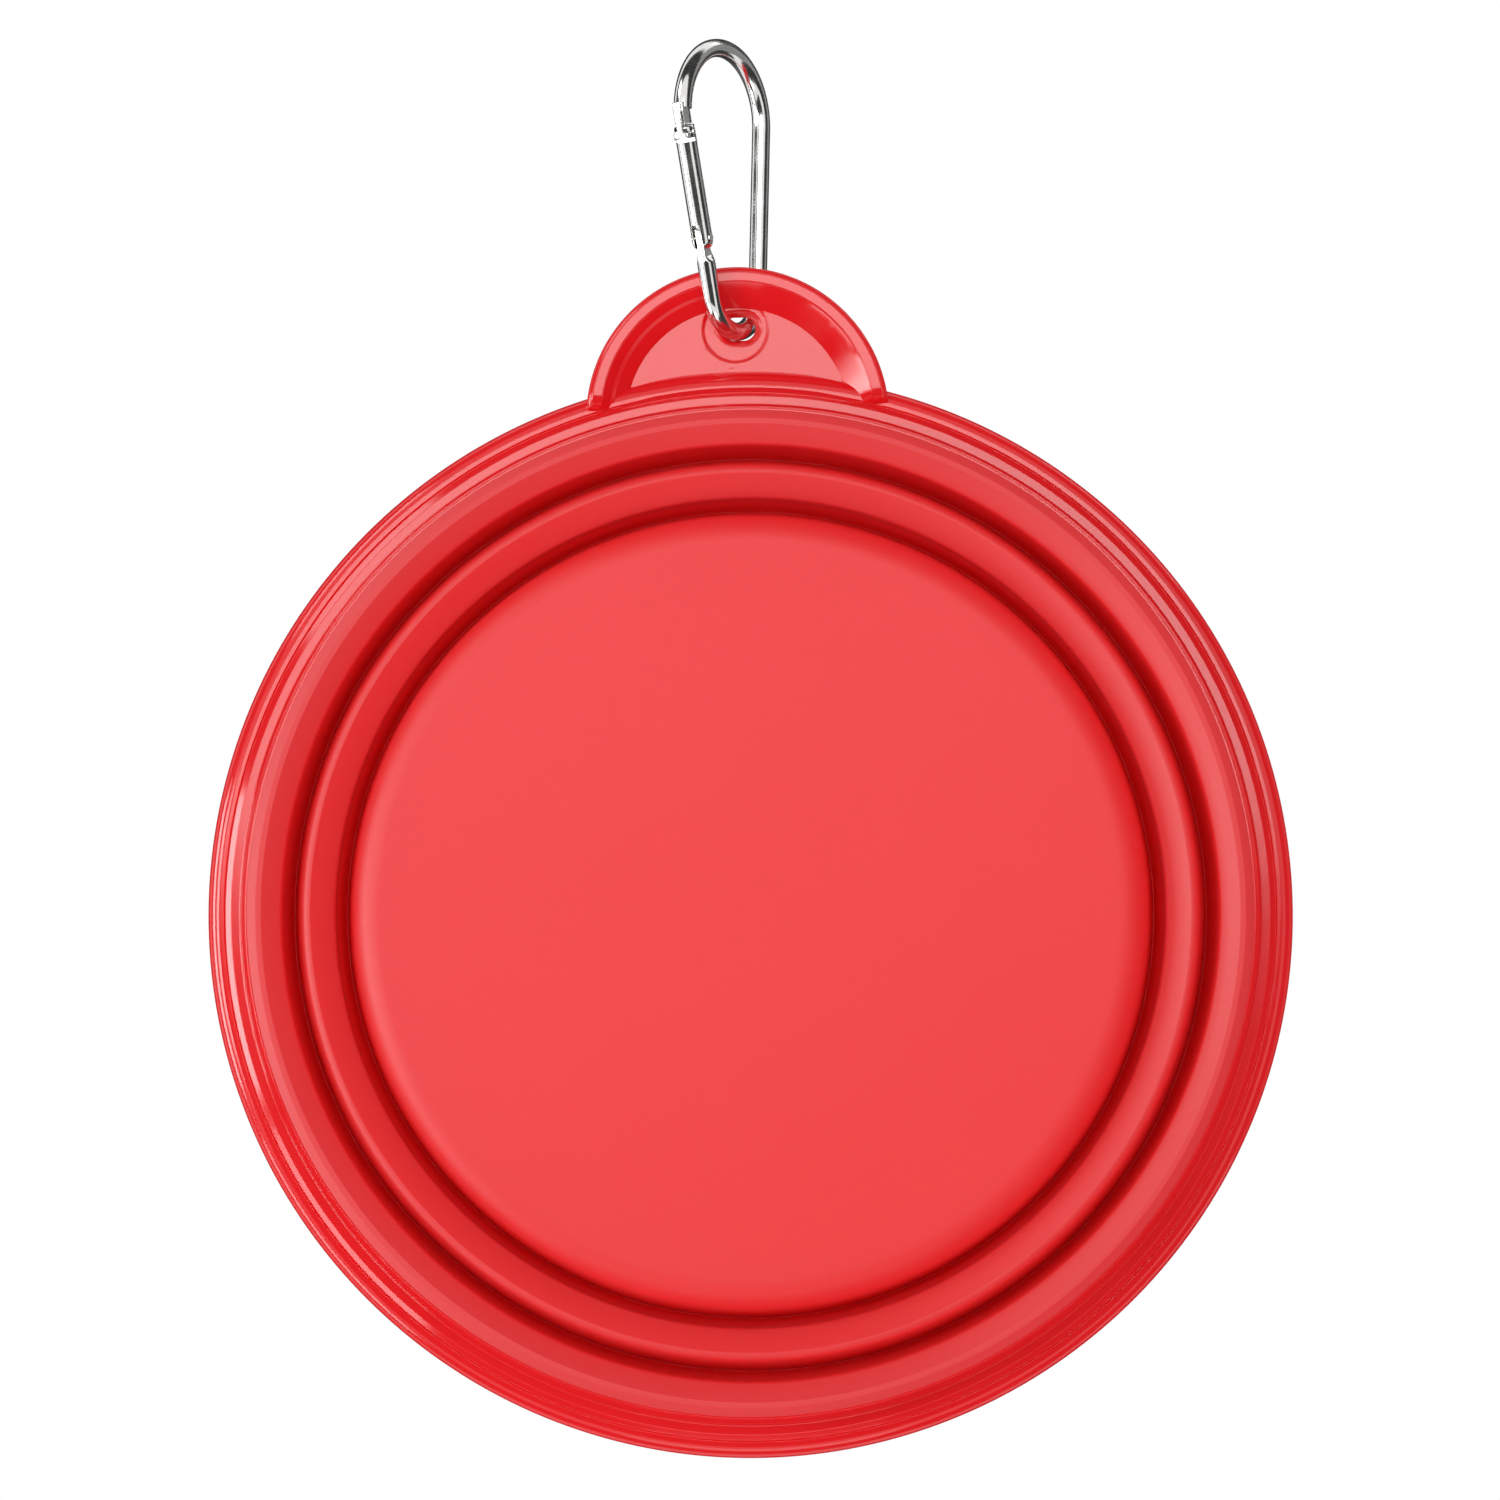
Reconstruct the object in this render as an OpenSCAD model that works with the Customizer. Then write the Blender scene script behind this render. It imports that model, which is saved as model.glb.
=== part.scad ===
// Folding travel bowl, folded flat with its base down. A silicone body of three drafted bands,
// joined by two fold webs, is moulded inside a hard rim. The rim's half-moon tab carries a
// spring-gate carabiner on its hole. Lengths are millimetres, angles are degrees.

/* [Rim] */
// Outside diameter of the rim lip
rim_d = 130; // [110:1:160]
// Height of the bowl when it is folded flat
folded_h = 14; // [13:0.5:17]
// Height of the lip round the top of the rim
lip_h = 5.2; // [4.6:0.1:6]
// How far the lip stands out from the skirt under it
lip_w = 4; // [3.6:0.1:4.6]
// Rounding of the lip's lower outer edge
lip_round = 1.9; // [1:0.1:2.1]
// Wall of the skirt
skirt_t = 1; // [0.9:0.1:1.4]
// Thickness of the flange that closes the top of the rim
flange_t = 1.8; // [1.4:0.1:2.4]
// How far the flange reaches inwards past the silicone cuff
flange_over = 0.4; // [0.2:0.1:0.8]
// Height of the skirt's lower edge over the surface that the bowl stands on
rim_clear = 0.8; // [0.4:0.1:1.5]

/* [Silicone body] */
// Draft of the skirt and of every band
wall_draft = 8; // [5:0.5:10]
// Thickness of the cuff that bonds the body to the inside of the skirt
cuff_t = 1.1; // [0.9:0.1:1.6]
// Wall of the middle band and of the base cup
band_t = 1.6; // [1.2:0.1:2]
// Thickness of the fold webs
fold_t = 1; // [0.7:0.05:1.1]
// Distance between the cuff and the middle band, across the upper fold
upper_fold_w = 4.3; // [4:0.1:6]
// Distance between the middle band and the base cup, across the lower fold
lower_fold_w = 5; // [4.6:0.1:6.5]
// Width of the blunt crest along the bottom of each fold
crest_w = 0.6; // [0.4:0.05:0.8]
// Slope of the bevel on the inner side of each crest
crest_bevel = 50; // [42:1:56]
// Width of the valley's mouth, from the inner wall's top edge to the bevel
valley_mouth = 2; // [1.7:0.1:2.4]
// Height of the crest over the surface that the bowl stands on
crest_z = 1.1; // [0.8:0.1:1.6]
// Height of the top edges of the middle band and of the base cup
stage_h = 10.4; // [9.6:0.1:10.8]
// Height of the rolled cap of each fold over those edges
cap_h = 1.6; // [1.2:0.1:2]
// Thickness of the bowl's floor
floor_t = 2.2; // [1.6:0.1:3]
// Rounding between the flat base and the side of the cup
base_round = 3.3; // [2:0.1:4]

/* [Hanging tab] */
// Radius of the half-moon tab
tab_r = 18.2; // [17:0.1:20]
// How far the tab stands out from the rim
tab_reach = 12.7; // [12:0.1:14]
// Height of the tab's border
tab_h = 5; // [4.4:0.1:5.2]
// Drop of the tab's top under the top of the rim
tab_drop = 1; // [0.5:0.1:1.4]
// Width of the border, from its outer edge to the edge of the upper recess
border_w = 4; // [3.6:0.1:4.4]
// Width of the flat crest on the border's under side, with its outer rounding
crest_land = 1.8; // [1.6:0.1:2.2]
// Width of the drafted wall between that crest and the pocket's floor
pocket_slope = 2.9; // [2.4:0.1:3.2]
// Thickness of the web in the pocket
tab_web_t = 1.6; // [1.4:0.1:2]
// Depth of the recess over the web
recess_h = 1.1; // [0.6:0.1:1.4]
// Length of the hole, along the rim
hole_w = 5.8; // [5.6:0.1:6.6]
// Width of the hole, across the tab
hole_h = 3.8; // [3.7:0.1:4.4]
// How far the middle of the hole lies outwards from the wire in it
hole_shift = 0.25; // [0.15:0.05:0.35]
// Radius of the round hollow that leads into the hole
hollow_r = 3; // [2.6:0.1:3.2]
// Depth of that hollow
hollow_h = 0.9; // [0.5:0.1:1.1]
// How far the hollow lies from the middle of the hole, towards the rim
hollow_shift = 1; // [0.6:0.1:1.2]

/* [Carabiner] */
// Diameter of the steel wire
wire_d = 2.2; // [2:0.05:2.3]
// Radius of the small bend, to the middle of the wire
bend_r = 5; // [4.9:0.1:5.4]
// Radius of the wide arch, to the middle of the wire
arch_r = 8.4; // [7.8:0.1:8.8]
// Distance between the centres of the bend and the arch
hook_span = 20.8; // [20:0.1:23]
// Roll of the carabiner about its long axis as it lies
hook_roll = 56; // [53:1:60]
// Droop of its free end towards the surface
hook_droop = 4; // [0:0.5:5]
// Lean of its long axis to the side
hook_lean = 2.5; // [-4:0.5:4]
// Distance of the small bend's centre from the tab's outer edge
hook_inset = 2.6; // [2.4:0.1:2.8]

/* [Gate] */
// Diameter of the gate rod
gate_d = 2.5; // [2.3:0.05:2.8]
// Place of the hinge pin along the open side, from the small bend
hinge_at = 7.2; // [6.8:0.1:7.6]
// How far the nose reaches round the arch, past the straight side
nose_over = 2.4; // [2:0.1:2.8]
// Diameter of the hinge pin
pin_d = 0.9; // [0.8:0.05:1]
// Thickness of the frame's hinge lug
lug_t = 1; // [0.9:0.05:1.1]
// Length of the nose neck that shows between the gate and the wire
neck_l = 2.1; // [1.8:0.1:2.4]
// Thickness of the nose tongue
tongue_t = 0.9; // [0.8:0.05:1]
// Length of the cross head on the end of the tongue
head_l = 0.8; // [0.6:0.05:0.9]
// Diameter of the gate's spring bore
bore_d = 1.5; // [1.4:0.05:1.6]
// Diameter of the spring wire
spring_wire = 0.28; // [0.2:0.01:0.3]
// Turns of the spring
spring_turns = 7; // [5:1:8]

/* [Fits] */
// Bond line between the cuff and the skirt
bond_gap = 0.05; // [0.03:0.01:0.08]
// Running gap round the hinge pin and the plunger
run_gap = 0.05; // [0.03:0.01:0.08]
// Gap beside the lug, the tongue and its head
side_gap = 0.15; // [0.1:0.05:0.2]

/* [Hidden] */

$fn = 96;
// Colours of the soft body, of the rim and of the carabiner
silicone = "#e9454b";
hard_plastic = "#ea3f47";
nickel = "#c9ccd0";

// Steps along each rounded corner of an outline
arc_steps = 8;
// Small roundings that break an edge
edge_r = 0.3;
soft_edge_r = 0.7;

// Radii of the skirt, the cuff and the bands at height z
draft = tan(wall_draft);
rim_r = rim_d / 2;
lip_z = folded_h - lip_h;
flange_z = folded_h - flange_t;
function skirt_out(z) = rim_r - lip_w - (lip_z - z) * draft;
function skirt_in(z) = skirt_out(z) - skirt_t;
function cuff_out(z) = skirt_in(z) - bond_gap;
function cuff_in(z) = cuff_out(z) - cuff_t;
band_r = cuff_out(crest_z) - upper_fold_w;
function band_out(z) = band_r - (stage_h - z) * draft;
function band_in(z) = band_out(z) - band_t;
cup_r = band_out(crest_z) - lower_fold_w;
function cup_out(z) = cup_r - (stage_h - z) * draft;
function cup_in(z) = cup_out(z) - band_t;

// Each fold web leaves its crest by a bevel, then climbs steeply to a valley beside the inner wall
valley_w = 0.25;
bevel_rise = tan(crest_bevel);
// Height of the web over its bevel, straight up
bevel_t = fold_t / cos(crest_bevel);
// Height of the break between the bevel and the steep part of the web
function break_z(crest_r, inner_r) =
    crest_z + (crest_r - crest_w - inner_r - valley_mouth) * bevel_rise;
function web_lean(crest_r, inner_r) =
    (valley_w - valley_mouth) / (stage_h - break_z(crest_r, inner_r));
// Radius of the upper side of the steep part at height z
function web_top(inner_r, lean, z) =
    inner_r + valley_w + lean * (z - stage_h) + fold_t * sqrt(1 + lean * lean);
// Height of the corner on the upper side, over the break
function corner_z(crest_r, inner_r, lean) =
    (crest_z + bevel_t + (crest_r - crest_w - web_top(inner_r, lean, 0)) * bevel_rise)
    / (1 + lean * bevel_rise);
// Height at which the upper side leaves a wall whose inner radius is foot_r at the crest
function root_z(crest_r, foot_r) =
    crest_z + (bevel_t + (crest_r - crest_w - foot_r) * bevel_rise) / (1 + draft * bevel_rise);
upper_root = root_z(cuff_out(crest_z), cuff_in(crest_z));
lower_root = root_z(band_out(crest_z), band_in(crest_z));

// The half-moon tab, and the point in its border that the carabiner's small bend goes round
tab_y = rim_r + tab_reach - tab_r;
tab_top = folded_h - tab_drop;
tab_bottom = tab_top - tab_h;
web_top_z = tab_top - recess_h;
web_bottom_z = web_top_z - tab_web_t;
border_y = rim_r + tab_reach - hook_inset;
border_z = (tab_top + tab_bottom) / 2;
hole_y = border_y - bend_r + hole_shift;
hollow_y = hole_y - hollow_shift;
// Overshoot of a cut past the face that it opens
cut_over = 1;

// The carabiner lies in its own plane: the small bend is centred on the origin, the arch on +Y
wire_r = wire_d / 2;
// Where a bend meets a straight run, both stop short and a barely wider bead closes the seam
seam_gap = 0.02;
seam_proud = 0.04;
seam_l = 0.3;
flare = asin((arch_r - bend_r) / hook_span);
arch_c = [0, hook_span];
leg_l = hook_span * cos(flare);
leg_foot = bend_r * [-cos(flare), -sin(flare)];
leg_dir = [-sin(flare), cos(flare)];
hinge = leg_foot + hinge_at * leg_dir;
// The nose takes the place of the end of the arch, and the gate fills the side from hinge to nose
nose_cut = nose_over / arch_r * 180 / PI;
nose_l = leg_l + nose_over - hinge_at;
gate_l = nose_l - neck_l;

// The gate's own frame: +X along the gate from the hinge pin, +Y away from the spine
gate_r = gate_d / 2;
pin_r = pin_d / 2;
bore_r = bore_d / 2;
ear_l = gate_r + side_gap;
// The pin stands this much out of each ear
pin_proud = 0.08;

// Hinge lug: half its width, its flat end past the pin, and its root towards the small bend
lug_half = 0.7;
lug_end = 1.2;
lug_neck = 2.9;
// Shoulder between the round wire and the lug, and how deep both go into the wire
taper_l = 0.8;
taper_r = 0.75;
embed = 0.5;
lug_slot_end = norm([lug_end, lug_half]) + 2 * side_gap;

// Nose: the gate's end lip hooks over the cross head, which has room to swing out of its notch
lip_l = 0.65;
notch_room = 0.8;
head_top = gate_l - lip_l - side_gap;
head_bottom = head_top - head_l;
notch_bottom = head_bottom - notch_room;
// Tongue: its depth under the gate's axis and how far it stays inside the gate's outside
tongue_floor = 0.4;
tongue_inset = 0.2;
neck_half = 0.7;

// Bore: the wall left before the notch, then the plunger and the spring that fill it
bore_wall = 1;
seat_gap = 0.02;
bore_end = notch_bottom - bore_wall;
plunger_r = bore_r - run_gap;
plunger_l = 2;
plunger_start = lug_end + run_gap;
plunger_end = plunger_start + plunger_l;
spring_seat = spring_wire / 2 + seat_gap;
spring_r = bore_r - run_gap - spring_wire / 2;
spring_start = plunger_end + spring_seat;
spring_end = bore_end - spring_seat;
// Rings of points in each turn of the spring, and points in each ring
spring_rings = 8;
spring_sides = 6;

// Rounded outlines: every point is [x, y, rounding]
function flat(p) = [p[0], p[1]];
function unit(v) = v / norm(v);
function rounded_corner(before, at, after, r) =
    let (a = unit(before - at),
         b = unit(after - at),
         half = acos(a * b) / 2,
         centre = at + unit(a + b) * r / sin(half),
         first = at + a * r / tan(half) - centre,
         last = at + b * r / tan(half) - centre,
         start = atan2(first.y, first.x),
         turn = (atan2(last.y, last.x) - start + 540) % 360 - 180)
    [for (i = [0 : arc_steps])
        centre + r * [cos(start + turn * i / arc_steps), sin(start + turn * i / arc_steps)]];
function rounded(points) =
    let (n = len(points))
    [for (i = [0 : n - 1])
        each points[i][2] > 0
            ? rounded_corner(flat(points[(i + n - 1) % n]), flat(points[i]),
                             flat(points[(i + 1) % n]), points[i][2])
            : [flat(points[i])]];

module turned(outline, angle = 360) {
    rotate_extrude(angle = angle) polygon(rounded(outline));
}

// Base cup: flat disc, rounded foot and the drafted side that stands inside the middle band
module base_cup() {
    color(silicone)
        turned([[0, 0, 0],
                [cup_out(0), 0, base_round],
                [cup_r, stage_h, 0],
                [cup_r - band_t, stage_h, 0],
                [cup_in(floor_t), floor_t, base_round - edge_r],
                [0, floor_t, 0]]);
}

// Fold web: hangs from the outer wall, turns at the crest, climbs inwards and rolls over onto the
// top edge of the inner wall
module fold_web(crest_r, inner_r, root, root_out, root_in) {
    cap_z = stage_h + cap_h;
    lean = web_lean(crest_r, inner_r);
    seat_z = corner_z(crest_r, inner_r, lean);
    turned([[root_out, root, 0],
            [crest_r, crest_z, edge_r / 2],
            [crest_r - crest_w, crest_z, edge_r / 2],
            [inner_r + valley_mouth, break_z(crest_r, inner_r), soft_edge_r],
            [inner_r + valley_w, stage_h, 0],
            [inner_r - band_t, stage_h, 0],
            [inner_r - band_t, cap_z, soft_edge_r],
            [web_top(inner_r, lean, cap_z), cap_z, soft_edge_r],
            [web_top(inner_r, lean, seat_z), seat_z, edge_r],
            [root_in, root, 0]]);
}

module lower_fold() {
    color(silicone)
        fold_web(band_out(crest_z), cup_r, lower_root, band_out(lower_root), band_in(lower_root));
}

module upper_fold() {
    color(silicone)
        fold_web(cuff_out(crest_z), band_r, upper_root, cuff_out(upper_root), cuff_in(upper_root));
}

// Middle band: drafted ring between the two folds
module middle_band() {
    color(silicone)
        turned([[band_in(lower_root), lower_root, 0],
                [band_out(lower_root), lower_root, 0],
                [band_r, stage_h, 0],
                [band_r - band_t, stage_h, 0]]);
}

// Cuff: the part of the silicone body that is bonded inside the skirt, under the flange
module wall_cuff() {
    color(silicone)
        turned([[cuff_in(upper_root), upper_root, 0],
                [cuff_out(upper_root), upper_root, 0],
                [cuff_out(flange_z), flange_z, 0],
                [cuff_in(flange_z), flange_z, 0]]);
}

module rim_profile() {
    inner_r = cuff_in(flange_z) - flange_over;
    turned([[inner_r, flange_z, edge_r],
            [skirt_in(flange_z), flange_z, 0],
            [skirt_in(rim_clear), rim_clear, edge_r],
            [skirt_out(rim_clear), rim_clear, 2 * edge_r],
            [skirt_out(lip_z), lip_z, 2 * edge_r],
            [rim_r, lip_z, lip_round],
            [rim_r, folded_h, lip_round],
            [inner_r, folded_h, soft_edge_r]]);
}

// Half-moon with a raised border, a drafted pocket under its web and a shallow recess over it
module tab_half_moon() {
    slope_r = tab_r - crest_land;
    recess_r = tab_r - border_w;
    difference() {
        translate([0, tab_y, 0])
            turned([[0, web_bottom_z, 0],
                    [slope_r - pocket_slope, web_bottom_z, edge_r],
                    [slope_r, tab_bottom, soft_edge_r],
                    [tab_r, tab_bottom, soft_edge_r],
                    [tab_r, tab_top, soft_edge_r],
                    [recess_r, tab_top, edge_r],
                    [recess_r - edge_r, web_top_z, edge_r],
                    [0, web_top_z, 0]], 180);
        cylinder(r = rim_r - lip_round, h = folded_h);
    }
}

// Oblong hole with the round hollow that leads the wire into it
module tab_hole() {
    end_x = (hole_w - hole_h) / 2;
    ball_r = (hollow_r * hollow_r + hollow_h * hollow_h) / (2 * hollow_h);
    translate([0, hole_y, web_bottom_z - cut_over])
        linear_extrude(tab_web_t + 2 * cut_over) {
            for (side = [-1, 1])
                translate([side * end_x, 0]) circle(d = hole_h);
            square([2 * end_x, hole_h], center = true);
        }
    translate([0, hollow_y, web_bottom_z + hollow_h - ball_r]) sphere(r = ball_r);
}

// Rim: lip, flange and skirt in one moulding with the hanging tab
module rim_ring() {
    color(hard_plastic)
        union() {
            rim_profile();
            difference() {
                tab_half_moon();
                tab_hole();
            }
        }
}

// Places the carabiner's plane in the bowl's frame, with its small bend round the tab's border
module hung() {
    translate([0, border_y, border_z])
        rotate([-hook_droop, 0, -hook_lean])
            rotate([0, 180 + hook_roll, 0])
                children();
}

// Places the gate's frame in the carabiner's plane
module at_hinge() {
    translate(hinge) rotate(90 + flare) children();
}

module wire_bend(centre, r, from, to) {
    trim = seam_gap / r * 180 / PI;
    translate(centre) rotate(from + trim)
        rotate_extrude(angle = to - from - 2 * trim) translate([r, 0]) circle(r = wire_r);
}

module wire_rod(from, to) {
    run = to - from;
    translate(from + seam_gap * unit(run)) rotate(atan2(run.y, run.x)) rotate([0, 90, 0])
        cylinder(r = wire_r, h = norm(run) - 2 * seam_gap);
}

// Closes the seam between a bend and a straight run that leaves it at an angle
module wire_seam(at, angle) {
    translate(at) rotate(angle) rotate([0, 90, 0])
        turned([[0, -seam_l, 0],
                [wire_r - seam_proud, -seam_l, 0],
                [wire_r + seam_proud, 0, 0],
                [wire_r - seam_proud, seam_l, 0],
                [0, seam_l, 0]]);
}

// Block from corner to corner in the gate's frame, centred across the carabiner's plane
module gate_block(x, y, thick) {
    translate([x[0], y[0], -thick / 2]) cube([x[1] - x[0], y[1] - y[0], thick]);
}

// Wire frame: small bend, spine and arch, with a flattened hinge lug and a cross-headed nose
module carabiner_frame() {
    mirrored = [[-1, 0], [0, 1]];
    stub = leg_foot + (hinge_at - lug_neck) * leg_dir;
    spine_foot = mirrored * leg_foot;
    spine_head = mirrored * (leg_foot + leg_l * leg_dir);
    color(nickel) hung() {
        wire_bend([0, 0], bend_r, 180 + flare, 360 - flare);
        wire_bend(arch_c, arch_r, -flare, 180 + flare - nose_cut);
        wire_rod(spine_foot, spine_head);
        wire_rod(leg_foot, stub);
        wire_seam(leg_foot, 90 + flare);
        wire_seam(spine_foot, 90 - flare);
        wire_seam(spine_head, 90 - flare);
        at_hinge() {
            hinge_lug();
            nose();
        }
    }
}

// Flattened end of the wire, with a tapered shoulder, that the gate's ears straddle
module hinge_lug() {
    translate([-lug_neck - embed, 0, 0]) rotate([0, 90, 0])
        cylinder(r1 = wire_r - seam_proud, r2 = taper_r, h = taper_l + embed);
    difference() {
        gate_block([-lug_neck - embed, lug_end], [-lug_half, lug_half], lug_t);
        cylinder(r = pin_r + run_gap, h = 2 * lug_t, center = true);
    }
}

// Square neck on the end of the arch, and the flat tongue whose cross head hooks into the gate
module nose() {
    tongue_y = [-tongue_floor, gate_r - tongue_inset];
    gate_block([gate_l + side_gap, nose_l + wire_r], [-neck_half, neck_half], 2 * neck_half);
    gate_block([head_bottom, nose_l - side_gap], tongue_y, tongue_t);
    gate_block([head_bottom, head_top], tongue_y, gate_d - 2 * tongue_inset);
}

// Gate: round rod with a slot for the lug, a notched slot for the nose and a blind spring bore
module gate() {
    floor_y = -tongue_floor - side_gap;
    slot_t = tongue_t + 2 * side_gap;
    color(nickel) hung() at_hinge() difference() {
        rotate([0, 90, 0])
            turned([[0, -ear_l, 0],
                    [gate_r, -ear_l, gate_r - edge_r],
                    [gate_r, gate_l, edge_r],
                    [0, gate_l, 0]]);
        gate_block([-gate_d, lug_slot_end], [-gate_d, gate_d], lug_t + 2 * side_gap);
        cylinder(r = pin_r + run_gap / 2, h = 2 * gate_d, center = true);
        translate([lug_slot_end - cut_over, 0, 0]) rotate([0, 90, 0])
            cylinder(r = bore_r, h = bore_end - lug_slot_end + cut_over);
        gate_block([notch_bottom, head_top + side_gap], [floor_y, gate_d], 2 * gate_d);
        gate_block([head_top, gate_l + cut_over], [floor_y, gate_d], slot_t);
    }
}

// Hinge pin, riveted through both ears of the gate
module hinge_pin() {
    pin_l = gate_d + 2 * pin_proud;
    color(nickel) hung() at_hinge()
        translate([0, 0, -pin_l / 2])
            turned([[0, 0, 0], [pin_r, 0, pin_proud], [pin_r, pin_l, pin_proud], [0, pin_l, 0]]);
}

// Plunger that the spring presses on the flat end of the lug, which shuts the gate
module gate_plunger() {
    color(nickel) hung() at_hinge() rotate([0, 90, 0])
        turned([[0, plunger_start, 0],
                [plunger_r, plunger_start, edge_r / 2],
                [plunger_r, plunger_end, edge_r / 2],
                [0, plunger_end, 0]]);
}

// Spring: one round wire wound at a steady pitch along the gate's bore
function spring_point(turn) =
    [spring_start + (spring_end - spring_start) * turn / spring_turns,
     spring_r * cos(360 * turn), spring_r * sin(360 * turn)];
function spring_turn(i) = i / spring_rings;
function spring_ring(turn) =
    let (out = [0, cos(360 * turn), sin(360 * turn)],
         pitch = (spring_end - spring_start) / spring_turns,
         round_dir = 2 * PI * spring_r * [0, -sin(360 * turn), cos(360 * turn)],
         along = unit(round_dir + [pitch, 0, 0]),
         side = cross(along, out))
    [for (k = [0 : spring_sides - 1])
        spring_point(turn) + spring_wire / 2 * (out * cos(360 * k / spring_sides)
                                                + side * sin(360 * k / spring_sides))];
spring_steps = spring_turns * spring_rings;
// Least gap between points of the wire that lie half a turn or more apart
spring_gap = min([for (i = [0 : spring_steps])
                  for (j = [i + spring_rings / 2 : 1 : spring_steps])
                      norm(spring_point(spring_turn(i)) - spring_point(spring_turn(j)))])
             - spring_wire;

module gate_spring() {
    n = spring_sides;
    points = [for (i = [0 : spring_steps]) each spring_ring(spring_turn(i))];
    walls = [for (i = [0 : spring_steps - 1]) for (k = [0 : n - 1])
                 let (a = i * n + k, b = i * n + (k + 1) % n)
                 each [[a, b, a + n], [b, b + n, a + n]]];
    first_cap = [for (k = [1 : n - 2]) [0, k + 1, k]];
    last_ring = spring_steps * n;
    last_cap = [for (k = [1 : n - 2]) [last_ring, last_ring + k, last_ring + k + 1]];
    echo(spring_gap = spring_gap);
    color(nickel) hung() at_hinge() polyhedron(points, concat(walls, first_cap, last_cap));
}

base_cup();
lower_fold();
middle_band();
upper_fold();
wall_cuff();
rim_ring();
carabiner_frame();
gate();
hinge_pin();
gate_plunger();
gate_spring();
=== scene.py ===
import math

import bmesh
import bpy
from mathutils import Matrix, Vector


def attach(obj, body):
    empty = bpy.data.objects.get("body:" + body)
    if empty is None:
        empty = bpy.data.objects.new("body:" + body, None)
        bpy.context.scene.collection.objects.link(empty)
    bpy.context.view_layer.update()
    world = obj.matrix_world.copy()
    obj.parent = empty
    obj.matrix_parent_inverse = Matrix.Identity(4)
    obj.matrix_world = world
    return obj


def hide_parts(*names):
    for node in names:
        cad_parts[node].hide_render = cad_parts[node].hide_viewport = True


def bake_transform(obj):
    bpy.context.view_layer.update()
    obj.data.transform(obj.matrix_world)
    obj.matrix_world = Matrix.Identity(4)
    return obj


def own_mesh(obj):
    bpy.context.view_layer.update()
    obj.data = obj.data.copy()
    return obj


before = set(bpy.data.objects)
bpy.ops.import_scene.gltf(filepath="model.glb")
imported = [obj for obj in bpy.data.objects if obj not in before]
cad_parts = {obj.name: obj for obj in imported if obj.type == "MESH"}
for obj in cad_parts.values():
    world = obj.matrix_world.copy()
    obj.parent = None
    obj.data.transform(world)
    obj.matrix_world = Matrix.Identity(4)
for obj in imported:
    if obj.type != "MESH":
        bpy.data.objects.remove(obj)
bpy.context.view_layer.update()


# Base cup: the flat foot of the bowl and its lowest stage. It is the middle of one soft moulding
# in red silicone rubber, with a rounded foot and a finely matt skin that holds a few dust specks.
MM = 0.001
SILICONE_RED = (0.95, 0.022, 0.028, 1)
SILICONE_DEEP = (0.91, 0.02, 0.025, 1)
SPECK_PINK = (0.85, 0.12, 0.12, 1)
SILICONE_ROUGH = (0.48, 0.56)
SILICONE_CLOUD = 28
GRAIN_SCALE = 2600
GRAIN_SPREAD = 0.3
GRAIN_BUMP = 0.05
BUMP_DEPTH = 0.0001
DUST_SCALE = 90
SPECK_R = 0.016
DUST_FREE = 0.8
IOR = 1.5
GLOW = 0.85
GLOW_RADIUS = (1, 0.15, 0.12)
GLOW_SCALE = 0.004
DRAFT = math.tan(math.radians(8))
STAGE_H = 10.4
BAND_T = 1.6
FLOOR_T = 2.2
BASE_ROUND = 3.4
FLOOR_ROUND = 3.1
CUP_R = 48.26
PATH_R = 50
ROUND_STEPS = 288
CORNER_STEPS = 10
WELD = 1e-6
NO_LENGTH = 1e-8
SHARP_ANGLE = math.radians(38)


def node(tree, kind, **settings):
    """New node in a tree. Settings name its properties, or its input sockets by index."""
    made = tree.nodes.new(kind)
    for key, value in settings.items():
        if key.startswith("in_"):
            made.inputs[int(key[3:])].default_value = value
        else:
            setattr(made, key, value)
    return made


def new_finish(name):
    """Material with a principled shader, and a function that links two of its sockets."""
    finish = bpy.data.materials.new(name)
    finish.use_nodes = True
    tree = finish.node_tree
    return finish, tree, tree.nodes["Principled BSDF"], tree.links.new


def noise_factor(tree, scale, spread=0.2, detail=2):
    """Soft noise on the piece's own coordinates, with a spread about its mean drawn out to 0..1."""
    place = node(tree, "ShaderNodeTexCoord")
    noise = node(tree, "ShaderNodeTexNoise")
    noise.inputs["Scale"].default_value = scale
    noise.inputs["Detail"].default_value = detail
    wide = node(tree, "ShaderNodeMapRange", in_1=0.5 - spread, in_2=0.5 + spread)
    tree.links.new(place.outputs["Object"], noise.inputs["Vector"])
    tree.links.new(noise.outputs["Fac"], wide.inputs[0])
    return wide.outputs[0]


def vary(tree, factor, target, low, high):
    """Drives a number socket between two values by a factor."""
    spread = node(tree, "ShaderNodeMapRange", in_3=low, in_4=high)
    tree.links.new(factor, spread.inputs[0])
    tree.links.new(spread.outputs[0], target)


def mixed(tree, factor, first, second):
    """Colour that runs from the first to the second by a factor. A colour may be a socket."""
    mix = node(tree, "ShaderNodeMix", data_type="RGBA")
    tree.links.new(factor, mix.inputs[0])
    for socket, colour in ((mix.inputs[6], first), (mix.inputs[7], second)):
        if isinstance(colour, tuple):
            socket.default_value = colour
        else:
            tree.links.new(colour, socket)
    return mix.outputs[2]


def bumped(tree, height, strength, distance):
    """Bump normal from a height."""
    bump = node(tree, "ShaderNodeBump")
    bump.inputs["Strength"].default_value = strength
    bump.inputs["Distance"].default_value = distance
    tree.links.new(height, bump.inputs["Height"])
    return bump.outputs["Normal"]


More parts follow.
